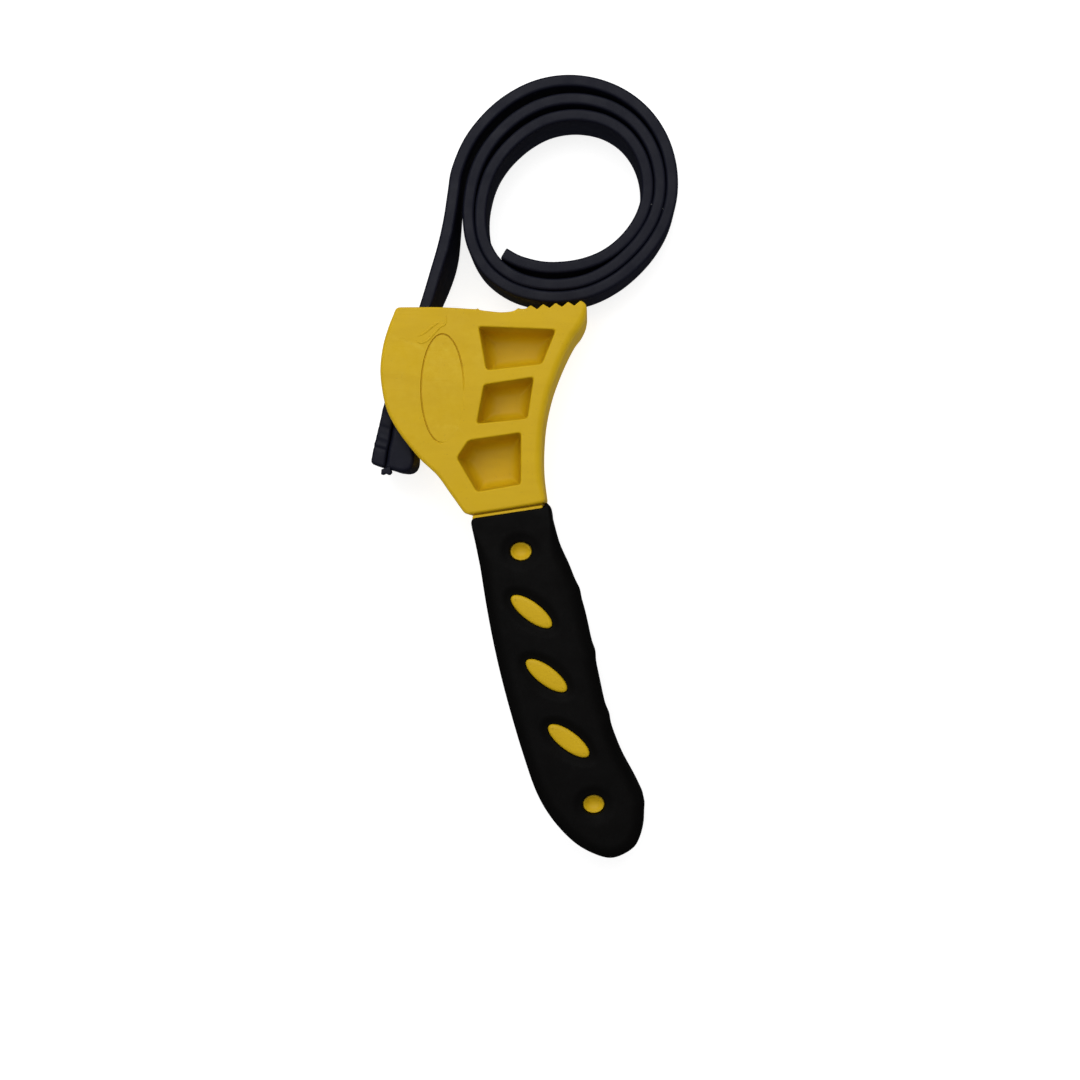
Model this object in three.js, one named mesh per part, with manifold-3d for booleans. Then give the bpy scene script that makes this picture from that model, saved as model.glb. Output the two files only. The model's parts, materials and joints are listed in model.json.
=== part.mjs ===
// Rubber strap wrench for oil filters, lying flat, in millimetres, +Z up.
//
// A yellow plastic frame (head, neck and tang in one moulding) carries a black rubber grip.
// A rubber belt runs through a slanted slot in the head. A wedge on its fixed end jams in the
// flared mouth of the slot, and its free length lies coiled beside the toothed nose.
//
// All outlines are drawn in the "tool plane": x across the handle, y along it towards the coil,
// with x = 0, y = 0 at the head's top edge, next to the slot mouth. z = 0 is the surface that
// the wrench lies on. The last lines move the whole tool to the bottom centre of its box.
import * as THREE from 'three';
import { mergeVertices } from 'three/addons/utils/BufferGeometryUtils.js';
import Module from 'manifold-3d';

const wasm = await Module();
wasm.setup();

// ---------- driving dimensions ----------
const FRAME_THICKNESS = 24;
const PLATE = 3; // front and back wall of the slot
const POCKET_DEPTH = 10; // each side, so the web between them is 4 thick
const FIRST_TOOTH = 27.9;
const TOOTH_PITCH = 3.35;
const TOOTH_HEIGHT = 1.15;
const TOOTH_COUNT = 5;
const TOOTH_LINE_SLOPE = 0.09; // the row of teeth climbs towards the tip of the nose

const NECK_RECESS = 2; // how far the neck lies below the faces of the head
const TANG_THICKNESS = 12;
const TANG_INSET = 4.6; // from the outside of the grip to the side of the tang
const FIT_GAP = 0.3; // clearance kept between pieces that touch

const GRIP_BEVEL = 1.5;
const GRIP_SEGMENTS = 70;
const WINDOW_LONG = 6.8; // half axes of the slanted oval windows
const WINDOW_SHORT = 2.75;
const WINDOW_TILT = THREE.MathUtils.degToRad(-37);
const ROUND_WINDOW = [3.1, 2.8]; // half axes of the nearly round ones
const OVAL_WINDOWS = [[27.9, -81.4], [31.9, -98.6], [37.9, -116]];
const ROUND_WINDOWS = [[25.1, -65.3], [44.6, -133.1]];

const BELT_WIDTH = 16;
const BELT_THICKNESS = 3;
const CORD_SLOT = { width: 13.8, thickness: 1.4 }; // room inside the rubber for the cord ply
const CORD_PLY = { width: 13.2, thickness: 0.8 };
const BELT_LEAN = THREE.MathUtils.degToRad(17.5); // slope of the slot from the y axis
const BELT_MOUTH_X = -1.4; // centre line of the belt where y = 0
const BELT_END_Y = -41.9;
const BEND_Y = 0.5; // the belt bends here, just above the head
const BEND_GAP = 1.4; // left open between the two stretches of belt
const SLOT_LEFT = 2; // slot walls, from the belt's centre line, square to it
const SLOT_RIGHT = 7;
const WEDGE_TRAVEL = 6; // how far the belt slides before the wedge jams

const COIL_CENTRE = [36.8, 32.6];
// Radius of the belt's centre line at every eighth of a turn, clockwise from the left. The coil
// is wound by hand: it is a little oblong, and its turns touch at the bottom and the right.
const COIL_RADII = [
  30.4, 29.2, 30.3, 30.8, 29.8, 27.8, 28.6, 30.3,
  26, 24.2, 25.3, 26.8, 25.9, 23.9, 25.2, 26.8,
  22.1, 20.4, 20.9, 22.8, 22.3, 20.2, 20.9, 23.3,
];

// ---------- materials ----------
const finish = (name, color, roughness) =>
  new THREE.MeshStandardMaterial({ name, color, roughness, metalness: 0 });
const YELLOW = finish('yellow_plastic', 0xc5a822, 0.45);
const GRIP_RUBBER = finish('grip_rubber', 0x121110, 0.75);
const BELT_RUBBER = finish('belt_rubber', 0x1c1c26, 0.7);
const CORD = finish('cord_fabric', 0x8a8478, 0.95);

// ---------- solids ----------
function solidOf(geometry) {
  const bare = geometry.index ? geometry.toNonIndexed() : geometry.clone();
  bare.deleteAttribute('normal');
  bare.deleteAttribute('uv');
  const merged = mergeVertices(bare, 1e-4);
  return new wasm.Manifold(new wasm.Mesh({
    numProp: 3,
    vertProperties: new Float32Array(merged.attributes.position.array),
    triVerts: new Uint32Array(merged.index.array),
  }));
}

function geometryOf(solid) {
  const { vertProperties, triVerts } = solid.getMesh();
  const geometry = new THREE.BufferGeometry();
  geometry.setAttribute('position', new THREE.BufferAttribute(new Float32Array(vertProperties), 3));
  geometry.setIndex(new THREE.BufferAttribute(new Uint32Array(triVerts), 1));
  geometry.computeVertexNormals();
  return geometry;
}

// A flat outline raised from z = low to z = high, with its edges rounded by bevel.
function slab(shape, low, high, bevel = 0, curveSegments = 6) {
  const geometry = new THREE.ExtrudeGeometry(shape, {
    depth: high - low - 2 * bevel,
    bevelEnabled: bevel > 0,
    bevelThickness: bevel,
    bevelSize: bevel,
    bevelOffset: -bevel,
    bevelSegments: 3,
    curveSegments,
  });
  return geometry.translate(0, 0, low + bevel);
}

const polygon = (points) => new THREE.Shape(points.map(([x, y]) => new THREE.Vector2(x, y)));
const vectors = (points) => points.map(([x, y]) => new THREE.Vector2(x, y));

function ellipse([x, y], long, short, tilt) {
  const shape = new THREE.Shape();
  shape.absellipse(x, y, long, short, 0, 2 * Math.PI, false, tilt);
  return shape;
}

// A polygon with every corner rounded.
function roundedPolygon(points, radius) {
  const corners = vectors(points);
  const shape = new THREE.Shape();
  corners.forEach((corner, i) => {
    const before = corners[(i + corners.length - 1) % corners.length];
    const after = corners[(i + 1) % corners.length];
    const from = corner.clone().add(before.clone().sub(corner).setLength(radius));
    const to = corner.clone().add(after.clone().sub(corner).setLength(radius));
    if (i === 0) shape.moveTo(from.x, from.y);
    else shape.lineTo(from.x, from.y);
    shape.quadraticCurveTo(corner.x, corner.y, to.x, to.y);
  });
  shape.closePath();
  return shape;
}

// ---------- the frame: head, neck and tang ----------
const toothLine = (x) => 0.4 + (x - FIRST_TOOTH) * TOOTH_LINE_SLOPE;

function headOutline() {
  const shape = new THREE.Shape();
  shape.moveTo(-8.5, -1.2);
  shape.quadraticCurveTo(-8.2, 0, -6.7, 0);
  shape.lineTo(12.6, 0); // flat jaw
  shape.splineThru(vectors([[16, -0.95], [19.6, -1.35], [23, -1.15], [26.2, -0.6]])); // saddle
  for (let i = 0; i < TOOTH_COUNT; i += 1) {
    const tip = FIRST_TOOTH + i * TOOTH_PITCH;
    const valley = tip + TOOTH_PITCH / 2;
    shape.lineTo(tip, toothLine(tip));
    if (i < TOOTH_COUNT - 1) shape.lineTo(valley, toothLine(valley) - TOOTH_HEIGHT);
  }
  shape.quadraticCurveTo(42.8, 1.4, 42.8, -0.8); // tip of the nose
  shape.splineThru(vectors([[42.4, -3.2], [41.1, -5.8], [39.3, -8.2], [37.2, -12.2], [34.9, -17.5],
    [32.9, -23.4], [31.4, -30.5], [30.8, -38], [30.9, -44.5], [31.6, -50.7]]));
  shape.quadraticCurveTo(31.7, -52.5, 30.6, -52.7);
  shape.lineTo(11.7, -55.4);
  shape.quadraticCurveTo(10.6, -55.5, 9.9, -54.6);
  shape.splineThru(vectors([[6.1, -49.6], [2.7, -44.9], [-1.6, -40.8], [-5.6, -36.1], [-8.7, -31.6],
    [-10.9, -27], [-12.1, -21.6], [-12.5, -16.2], [-11.8, -10.4], [-10.2, -5], [-8.5, -1.2]]));
  return shape;
}

const beltCentre = (y) => BELT_MOUTH_X + y * Math.tan(BELT_LEAN);
const besideBelt = (y, offset) => beltCentre(y) + offset / Math.cos(BELT_LEAN);

// The flared wall that the wedge jams against runs beside the wedge, further along the slot.
const WEDGE_TOP = [besideBelt(-24, BELT_THICKNESS / 2 + FIT_GAP), -24];
const WEDGE_HEEL = [-2.7, -39.8];
const travel = [WEDGE_TRAVEL * Math.sin(BELT_LEAN), WEDGE_TRAVEL * Math.cos(BELT_LEAN)];
const wedgeSlope = (WEDGE_HEEL[0] - WEDGE_TOP[0]) / (WEDGE_HEEL[1] - WEDGE_TOP[1]);
const flareX = (y) =>
  WEDGE_TOP[0] + travel[0] + FIT_GAP + (y - WEDGE_TOP[1] - travel[1]) * wedgeSlope;

function slotOutline() {
  const top = 4;
  const shoeTip = -25.6;
  const below = -50;
  const wallX = besideBelt(0, SLOT_RIGHT);
  const flareStart = (flareX(0) - wallX) / (Math.tan(BELT_LEAN) - wedgeSlope);
  return polygon([
    [besideBelt(top, -SLOT_LEFT), top],
    [besideBelt(shoeTip, -SLOT_LEFT), shoeTip],
    [-22, shoeTip],
    [-22, below],
    [flareX(below), below],
    [flareX(flareStart), flareStart],
    [besideBelt(top, SLOT_RIGHT), top],
  ]);
}

const POCKETS = [
  [[14.3, -5.3], [34.4, -6.1], [31.2, -14.8], [16.1, -16.4]],
  [[15.3, -20.4], [28.3, -18.7], [26.5, -29.5], [13.5, -30.7]],
  [[11.1, -35.4], [25.1, -33.6], [25, -47], [13.5, -48.9], [8.2, -39.9]],
];
const POCKET_CORNER = 0.8;

// Left and right side of the grip at stations along it.
const GRIP_STATIONS = [
  [-63, 12.8, 35.2], [-70, 14, 38.3], [-80, 15.6, 41.8], [-90, 17.5, 44.1], [-100, 19.8, 46.2],
  [-110, 22.5, 48.5], [-120, 25.5, 52.1], [-130, 29, 57.3], [-137, 33, 58.2], [-143, 38.4, 56.8],
];
const GRIP_TAIL = [[43.6, -147], [49.2, -148.8], [54.2, -146.8]];
const GRIP_SHOULDERS = [[11.2, -56.6], [33.2, -53.5]];

function gripOutline() {
  const left = GRIP_STATIONS.map(([y, x]) => [x, y]);
  const right = GRIP_STATIONS.map(([y, , x]) => [x, y]).reverse();
  const side = vectors([GRIP_SHOULDERS[0], ...left, ...GRIP_TAIL, ...right, GRIP_SHOULDERS[1]]);
  return new THREE.Shape(new THREE.SplineCurve(side).getPoints(GRIP_SEGMENTS));
}

// The tang follows the grip at a distance. It starts at the neck, where it is wider.
function tangOutline(grow) {
  const inset = TANG_INSET - grow;
  const stations = GRIP_STATIONS.slice(0, -1);
  const left = stations.map(([y, x]) => [x + inset, y]);
  const right = stations.map(([y, , x]) => [x - inset, y]).reverse();
  const top = -50.5 + 3 * grow;
  return polygon([[15.5 - grow, top], ...left, [45.6, -143 - grow], ...right, [28.5 + grow, top]]);
}

function islands(grow, roundTop, ovalTop) {
  const middle = FRAME_THICKNESS / 2;
  const raised = (shape, top) => solidOf(slab(shape, 2 * middle - top, top));
  const ovals = OVAL_WINDOWS.map((at) =>
    raised(ellipse(at, WINDOW_LONG + grow, WINDOW_SHORT + grow, WINDOW_TILT), ovalTop));
  const rounds = ROUND_WINDOWS.map((at) =>
    raised(ellipse(at, ROUND_WINDOW[0] + grow, ROUND_WINDOW[1] + grow, 0), roundTop));
  return [...ovals, ...rounds];
}

function tangSolid(grow) {
  const middle = FRAME_THICKNESS / 2;
  const half = TANG_THICKNESS / 2 + grow;
  return solidOf(slab(tangOutline(grow), middle - half, middle + half));
}

function neckSolid(grow) {
  const outline = polygon([
    [13 - grow, -52], [13.4 - grow, -57.6 - grow], [31.4 + grow, -55 - grow], [31.2 + grow, -50],
  ]);
  return solidOf(slab(outline, NECK_RECESS - grow, FRAME_THICKNESS - NECK_RECESS + grow));
}

function handleFrame() {
  let frame = solidOf(slab(headOutline(), 0, FRAME_THICKNESS, 0, 4));
  frame = frame.subtract(solidOf(slab(slotOutline(), PLATE, FRAME_THICKNESS - PLATE)));
  for (const corners of POCKETS) {
    const pocket = roundedPolygon(corners, POCKET_CORNER);
    frame = frame.subtract(solidOf(slab(pocket, FRAME_THICKNESS - POCKET_DEPTH, FRAME_THICKNESS + 1)));
    frame = frame.subtract(solidOf(slab(pocket, -1, POCKET_DEPTH)));
  }
  frame = frame.add(neckSolid(0)).add(tangSolid(0));
  for (const island of islands(-FIT_GAP, FRAME_THICKNESS - 3, FRAME_THICKNESS - 0.5)) {
    frame = frame.add(island);
  }
  return geometryOf(frame);
}

// ---------- the grip ----------
function gripSleeve() {
  let grip = solidOf(slab(gripOutline(), 0, FRAME_THICKNESS, GRIP_BEVEL, 4));
  grip = grip.subtract(tangSolid(FIT_GAP)).subtract(neckSolid(FIT_GAP));
  for (const window of islands(0, FRAME_THICKNESS + 1, FRAME_THICKNESS + 1)) {
    grip = grip.subtract(window);
  }
  return geometryOf(grip);
}

// ---------- the belt ----------
const HEAD_BELT_Z = FRAME_THICKNESS / 2;
const COIL_BELT_Z = BELT_WIDTH / 2 + 0.05;

function leadPath() {
  const point = (y) => new THREE.Vector3(beltCentre(y), y, HEAD_BELT_Z);
  return new THREE.LineCurve3(point(BELT_END_Y), point(BEND_Y - BEND_GAP / 2));
}

// From the bend the belt leans over to the coil and sinks until its edge rests on the ground.
function coilPath() {
  const start = BEND_Y + BEND_GAP / 2;
  const points = [
    new THREE.Vector3(beltCentre(start), start, HEAD_BELT_Z),
    new THREE.Vector3(2, 9.1, HEAD_BELT_Z - 0.6),
    new THREE.Vector3(4.1, 16, HEAD_BELT_Z - 1.8),
    new THREE.Vector3(5.4, 23.4, HEAD_BELT_Z - 3.1),
  ];
  const radii = new THREE.SplineCurve(COIL_RADII.map((r, eighth) => new THREE.Vector2(eighth, r)));
  const samples = 3 * (COIL_RADII.length - 1);
  for (let i = 0; i <= samples; i += 1) {
    const { x: eighth, y: radius } = radii.getPoint(i / samples);
    const angle = Math.PI * (1 - eighth / 4);
    const sunk = Math.min(1, 0.94 + eighth / 10);
    points.push(new THREE.Vector3(
      COIL_CENTRE[0] + radius * Math.cos(angle),
      COIL_CENTRE[1] + radius * Math.sin(angle),
      HEAD_BELT_Z + (COIL_BELT_Z - HEAD_BELT_Z) * sunk,
    ));
  }
  return new THREE.CatmullRomCurve3(points);
}

// The width stands along z. The rubber has a slot through its middle for the cord ply.
function beltSection(width, thickness) {
  return polygon([
    [-width / 2, -thickness / 2], [width / 2, -thickness / 2],
    [width / 2, thickness / 2], [-width / 2, thickness / 2],
  ]);
}

function rubberBelt(path, steps) {
  const section = beltSection(BELT_WIDTH, BELT_THICKNESS);
  section.holes.push(beltSection(CORD_SLOT.width, CORD_SLOT.thickness));
  return new THREE.ExtrudeGeometry(section, { extrudePath: path, steps });
}

function cordPly(path, steps) {
  const section = beltSection(CORD_PLY.width, CORD_PLY.thickness);
  return new THREE.ExtrudeGeometry(section, { extrudePath: path, steps });
}

// A lump of rubber moulded against the belt's fixed end, with a small tab where they meet.
function stopWedge() {
  const seam = (y) => [besideBelt(y, BELT_THICKNESS / 2 + FIT_GAP), y];
  const shape = new THREE.Shape();
  shape.moveTo(...WEDGE_TOP);
  shape.lineTo(...WEDGE_HEEL);
  shape.quadraticCurveTo(-2.8, -44.1, -5.8, -44.1); // rounded heel
  shape.lineTo(-10, -43.3);
  shape.lineTo(-10.2, -44.7); // notched tab
  shape.lineTo(-11.1, -44.2);
  shape.lineTo(-12.4, -44.7);
  shape.lineTo(...seam(-42.6));
  shape.closePath();
  const bottom = HEAD_BELT_Z - BELT_WIDTH / 2;
  return slab(shape, bottom, bottom + BELT_WIDTH);
}

// ---------- assembly ----------
const tool = new THREE.Group();
function place(name, geometry, material) {
  const mesh = new THREE.Mesh(geometry, material.clone());
  mesh.name = name;
  tool.add(mesh);
}

place('handle_frame', handleFrame(), YELLOW);
place('grip_sleeve', gripSleeve(), GRIP_RUBBER);
place('stop_wedge', stopWedge(), BELT_RUBBER);
place('belt_lead', rubberBelt(leadPath(), 1), BELT_RUBBER);
place('belt_coil', rubberBelt(coilPath(), 150), BELT_RUBBER);
place('lead_cord_ply', cordPly(leadPath(), 1), CORD);
place('coil_cord_ply', cordPly(coilPath(), 150), CORD);

// The origin is the middle of the tool's box, on the surface it lies on.
const box = new THREE.Box3().setFromObject(tool);
const middle = box.getCenter(new THREE.Vector3());
tool.position.set(-middle.x, -middle.y, -box.min.z);

const group = new THREE.Group();
group.add(tool);
export default group;
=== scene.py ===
"""A rubber strap wrench for oil filters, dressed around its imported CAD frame.

Outlines are drawn in millimetres in the tool plane: x across the handle, y along it towards the
coil, (0, 0) on the head's top edge beside the slot mouth, z up from the surface it lies on.
place() turns such a point into metres in the frame.
"""
import json
import math

import bmesh
import bpy
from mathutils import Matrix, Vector


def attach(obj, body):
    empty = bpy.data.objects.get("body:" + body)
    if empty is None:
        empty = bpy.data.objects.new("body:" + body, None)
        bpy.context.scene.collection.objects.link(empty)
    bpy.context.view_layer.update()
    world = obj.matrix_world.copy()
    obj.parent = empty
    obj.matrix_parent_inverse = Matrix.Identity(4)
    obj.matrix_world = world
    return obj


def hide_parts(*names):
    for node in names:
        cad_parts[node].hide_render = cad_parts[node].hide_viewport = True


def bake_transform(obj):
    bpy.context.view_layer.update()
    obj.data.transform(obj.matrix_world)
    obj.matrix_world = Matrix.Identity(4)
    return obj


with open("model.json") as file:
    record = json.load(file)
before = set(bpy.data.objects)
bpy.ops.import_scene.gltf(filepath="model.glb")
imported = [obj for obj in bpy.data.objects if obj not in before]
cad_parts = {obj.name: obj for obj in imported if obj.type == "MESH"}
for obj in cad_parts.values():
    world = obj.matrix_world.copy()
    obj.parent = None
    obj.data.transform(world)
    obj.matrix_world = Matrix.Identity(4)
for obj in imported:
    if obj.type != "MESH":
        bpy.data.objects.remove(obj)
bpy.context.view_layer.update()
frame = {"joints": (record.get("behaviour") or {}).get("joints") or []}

MM = 0.001
FULL = 24.0  # thickness of head and grip
MIDDLE = FULL / 2

# The belt's bend is a joint of the frame, so it ties the tool plane to the frame.
BEND = (-1.242, 0.5, MIDDLE)
bend_joint = next(j for j in frame["joints"] if j["name"] == "belt_bend")
ORIGIN = Vector(bend_joint["pos_m"]) - Vector(BEND) * MM


def place(x, y, z=0.0):
    return ORIGIN + Vector((x, y, z)) * MM


# ---------------------------------------------------------------- camera
CAMERA_HEIGHT = 450.0
CAMERA_OVER = (43.6, -64.9)
VIEW_WIDTH = 304.5  # width of the surface that the picture takes in
VIEW_SHIFT = (-5 / 108, 1 / 108)  # of the view's width
SENSOR = 36.0


def make_camera():
    data = bpy.data.cameras.new("camera")
    data.sensor_width = SENSOR
    data.lens = SENSOR * CAMERA_HEIGHT / VIEW_WIDTH
    data.shift_x, data.shift_y = VIEW_SHIFT
    data.clip_start = 0.01
    camera = bpy.data.objects.new("camera", data)
    camera.location = place(*CAMERA_OVER, CAMERA_HEIGHT)
    bpy.context.scene.collection.objects.link(camera)
    bpy.context.scene.camera = camera


make_camera()


# ---------------------------------------------------------------- curves and outlines
def spline(points, per_span, closed=False):
    """Catmull-Rom curve through points, with per_span steps between two of them."""
    count = len(points)
    spans = count if closed else count - 1
    out = []
    for i in range(spans):
        if closed:
            a, b, c, d = (points[(i + k) % count] for k in (-1, 0, 1, 2))
        else:
            b, c = points[i], points[i + 1]
            a = points[i - 1] if i else b
            d = points[i + 2] if i + 2 < count else c
        for step in range(per_span):
            t = step / per_span
            out.append(tuple(
                0.5 * (2 * q + (r - p) * t + (2 * p - 5 * q + 4 * r - s) * t * t
                       + (3 * q - p - 3 * r + s) * t ** 3)
                for p, q, r, s in zip(a, b, c, d)
            ))
    if not closed:
        out.append(tuple(points[-1]))
    return out


def bezier(start, control, end, steps=6):
    """Quadratic curve, without its first point."""
    out = []
    for i in range(1, steps + 1):
        t = i / steps
        out.append(tuple(
            (1 - t) ** 2 * a + 2 * t * (1 - t) * b + t * t * c
            for a, b, c in zip(start, control, end)
        ))
    return out


def ellipse(centre, long, short, tilt, steps=48):
    cos_t, sin_t = math.cos(tilt), math.sin(tilt)
    out = []
    for i in range(steps):
        a = 2 * math.pi * i / steps
        x, y = long * math.cos(a), short * math.sin(a)
        out.append((centre[0] + x * cos_t - y * sin_t, centre[1] + x * sin_t + y * cos_t))
    return out


def resample(points, spacing):
    """Even spacing along a closed outline."""
    loop = points + points[:1]
    lengths = [math.dist(a, b) for a, b in zip(loop, loop[1:])]
    total = sum(lengths)
    count = max(8, round(total / spacing))
    out, i, walked = [], 0, 0.0
    for k in range(count):
        target = total * k / count
        while walked + lengths[i] < target:
            walked += lengths[i]
            i += 1
        t = (target - walked) / lengths[i]
        out.append(tuple(p + (q - p) * t for p, q in zip(loop[i], loop[i + 1])))
    return out


def inward(points):
    """Unit normals towards the inside of a closed outline that runs anticlockwise."""
    out = []
    for i, p in enumerate(points):
        before, after = points[i - 1], points[(i + 1) % len(points)]
        n = Vector((0.0, 0.0))
        for a, b in ((before, p), (p, after)):
            edge = Vector((b[0] - a[0], b[1] - a[1]))
            if edge.length > 1e-9:
                edge.normalize()
                n += Vector((-edge.y, edge.x))
        out.append(n.normalized())
    return out


def inset(points, normals, distances):
    return [(p[0] + n.x * d, p[1] + n.y * d) for p, n, d in zip(points, normals, distances)]


def offset_corners(corners, distance):
    """A polygon that runs anticlockwise, with its sides moved inwards by distance."""
    out = []
    for i, p in enumerate(corners):
        a, b = Vector(corners[i - 1]), Vector(p)
        c = Vector(corners[(i + 1) % len(corners)])
        u, v = (b - a).normalized(), (c - b).normalized()
        n, m = Vector((-u.y, u.x)), Vector((-v.y, v.x))
        bisector = (n + m).normalized()
        out.append(tuple(b + bisector * (distance / bisector.dot(n))))
    return out


SIDE_SHARE = 0.45  # most of a side that the curve at one of its ends takes


def round_corners(corners, radius, steps=7):
    """The polygon with each corner turned into a curve that starts radius away from it."""
    out = []
    for i, p in enumerate(corners):
        before, after = Vector(corners[i - 1]), Vector(corners[(i + 1) % len(corners)])
        p = Vector(p)
        reach_in = min(radius, (before - p).length * SIDE_SHARE)
        reach_out = min(radius, (after - p).length * SIDE_SHARE)
        start = p + (before - p).normalized() * reach_in
        end = p + (after - p).normalized() * reach_out
        out.append(tuple(start))
        out.extend(bezier(tuple(start), tuple(p), tuple(end), steps))
    return out


# ---------------------------------------------------------------- mesh building
SMOOTH_ANGLE = 32  # degrees; edges that turn by less are shaded smooth
CURVED_ANGLE = 34  # the same, for the head and the tang
BELT_ANGLE = 50
PLY_ANGLE = 60


def new_object(name, bm, smooth_angle=SMOOTH_ANGLE):
    bmesh.ops.recalc_face_normals(bm, faces=bm.faces)
    mesh = bpy.data.meshes.new(name)
    bm.to_mesh(mesh)
    bm.free()
    obj = bpy.data.objects.new(name, mesh)
    bpy.context.scene.collection.objects.link(obj)
    shade(obj, smooth_angle)
    return obj


def shade(obj, smooth_angle):
    obj.data.shade_smooth()
    obj.data.set_sharp_from_angle(angle=math.radians(smooth_angle))


def apply_modifiers(obj):
    graph = bpy.context.evaluated_depsgraph_get()
    mesh = bpy.data.meshes.new_from_object(obj.evaluated_get(graph))
    obj.modifiers.clear()
    old = obj.data
    obj.data = mesh
    bpy.data.meshes.remove(old)


def weigh_normals(obj):
    modifier = obj.modifiers.new("weighted_normals", "WEIGHTED_NORMAL")
    modifier.keep_sharp = True
    apply_modifiers(obj)


def cut(obj, cutter, operation="DIFFERENCE"):
    modifier = obj.modifiers.new("cut", "BOOLEAN")
    modifier.operation = operation
    modifier.object = cutter
    modifier.solver = "EXACT"
    apply_modifiers(obj)
    bpy.data.objects.remove(cutter)


class Sheet:
    """Rings of points joined into walls, with the flat faces between them filled."""

    def __init__(self):
        self.bm = bmesh.new()

    def ring(self, points, heights):
        if not hasattr(heights, "__len__"):
            heights = [heights] * len(points)
        return [self.bm.verts.new(place(x, y, z)) for (x, y), z in zip(points, heights)]

    def wall(self, lower, upper):
        count = len(lower)
        for i in range(count):
            k = (i + 1) % count
            self.bm.faces.new((lower[i], lower[k], upper[k], upper[i]))

    def walls(self, rings):
        for lower, upper in zip(rings, rings[1:]):
            self.wall(lower, upper)

    def fill(self, *rings):
        edges = []
        for ring in rings:
            count = len(ring)
            for i in range(count):
                pair = (ring[i], ring[(i + 1) % count])
                edges.append(self.bm.edges.get(pair) or self.bm.edges.new(pair))
        bmesh.ops.triangle_fill(self.bm, use_beauty=True, use_dissolve=False, edges=edges)


def rounding(radius, steps):
    """(inset, drop) pairs of a quarter circle, from the side wall up to the flat face."""
    out = []
    for i in range(steps + 1):
        a = math.pi / 2 * i / steps
        out.append((radius * (1 - math.cos(a)), radius * (1 - math.sin(a))))
    return out


# ---------------------------------------------------------------- the head
TOOTH_PITCH = 3.32
TOOTH_HEIGHT = 1.2
TOOTH_COUNT = 5
FIRST_TOOTH = 27.8
TOOTH_BLUNT = 0.13  # share of each flank that the rounding of a crest takes
FIRST_CREST_Y = 0.45
CREST_SLOPE = 0.095  # the row of teeth rises towards the nose
SAME_POINT = 0.05  # outline points nearer to each other than this are one


def tooth_line(x):
    """Height of the line through the crests."""
    return FIRST_CREST_Y + (x - FIRST_TOOTH) * CREST_SLOPE


def head_outline():
    """Points of the head's outline, clockwise, with the edge rounding wanted at each."""
    runs = []  # (points, rounding)
    runs.append((bezier((-8.8, -1.6), (-8.4, 0), (-7.1, 0)), 0.6))
    jaw = [(-6, 0), (-2, 0), (2, 0), (5, -0.08), (8, -0.22), (11, -0.42), (13.1, -0.5),
           (13.6, -0.3), (14.2, -0.72), (16, -1.0), (19.6, -1.35), (22.2, -1.2), (23.5, -0.85),
           (24.4, -0.3), (25.2, -0.45), (26.4, -0.4)]
    runs.append((spline(jaw, 6), 0.55))
    teeth = []
    for i in range(TOOTH_COUNT):
        tip = FIRST_TOOTH + i * TOOTH_PITCH
        crest = (tip, tooth_line(tip))
        valleys = [tip - TOOTH_PITCH / 2, tip + TOOTH_PITCH / 2]
        foot, root = ((x, tooth_line(x) - TOOTH_HEIGHT) for x in valleys)
        if i == 0:
            foot = jaw[-1]
        rise = [crest[k] + (foot[k] - crest[k]) * TOOTH_BLUNT for k in (0, 1)]
        fall = [crest[k] + (root[k] - crest[k]) * TOOTH_BLUNT for k in (0, 1)]
        teeth.append(tuple(rise))
        teeth.extend(bezier(rise, crest, fall, 4))
        if i < TOOTH_COUNT - 1:
            following = (tip + TOOTH_PITCH, tooth_line(tip + TOOTH_PITCH))
            into = [root[k] + (crest[k] - root[k]) * TOOTH_BLUNT / 2 for k in (0, 1)]
            out = [root[k] + (following[k] - root[k]) * TOOTH_BLUNT / 2 for k in (0, 1)]
            teeth.append(tuple(into))
            teeth.extend(bezier(into, root, out, 3))
    runs.append((teeth, 0.26))
    runs.append((bezier(teeth[-1], (42.8, 1.2), (42.8, -0.8), 6), 0.5))
    right = [(42.8, -0.8), (42.35, -3.2), (41.1, -5.8), (39.3, -8.2), (37.2, -12.2), (34.9, -17.5),
             (32.9, -23.4), (31.4, -30.5), (30.8, -38), (30.9, -44.5), (31.6, -50.4)]
    runs.append((spline(right, 8)[1:], 2.2))
    runs.append((bezier((31.6, -50.4), (31.9, -52.2), (30.8, -52.45), 6), 0.9))
    runs.append((spline([(30.8, -52.45), (21, -54.0), (11.9, -55.35)], 8)[1:], 0.8))
    runs.append((bezier((11.9, -55.35), (10.5, -55.6), (9.6, -54.5), 6), 0.9))
    left = [(9.6, -54.5), (6.1, -49.6), (2.7, -44.9), (-1.65, -40.8), (-5.6, -36.1), (-8.7, -31.6),
            (-10.9, -27), (-12.1, -21.6), (-12.5, -16.2), (-11.8, -10.4), (-10.3, -5.2),
            (-8.8, -1.6)]
    runs.append((spline(left, 6)[1:-1], 1.1))
    points, radii = [], []
    for run, radius in runs:
        for p in run:
            if points and math.dist(points[-1], p) < SAME_POINT:
                continue
            points.append(tuple(p))
            radii.append(radius)
    return points, radii


SHARP = 0.4  # roundings under this aren't widened by their neighbours


def smoothed(values, points, reach):
    """Each value averaged with its neighbours within reach along the outline."""
    count = len(values)
    out = []
    for i in range(count):
        total, weight = values[i], 1.0
        for way in (-1, 1):
            walked, k = 0.0, i
            while True:
                nxt = (k + way) % count
                walked += math.dist(points[k], points[nxt])
                if walked > reach:
                    break
                share = 1 - walked / reach
                total += values[nxt] * share
                weight += share
                k = nxt
        average = total / weight
        out.append(min(values[i], average) if values[i] < SHARP else average)
    return out


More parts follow.
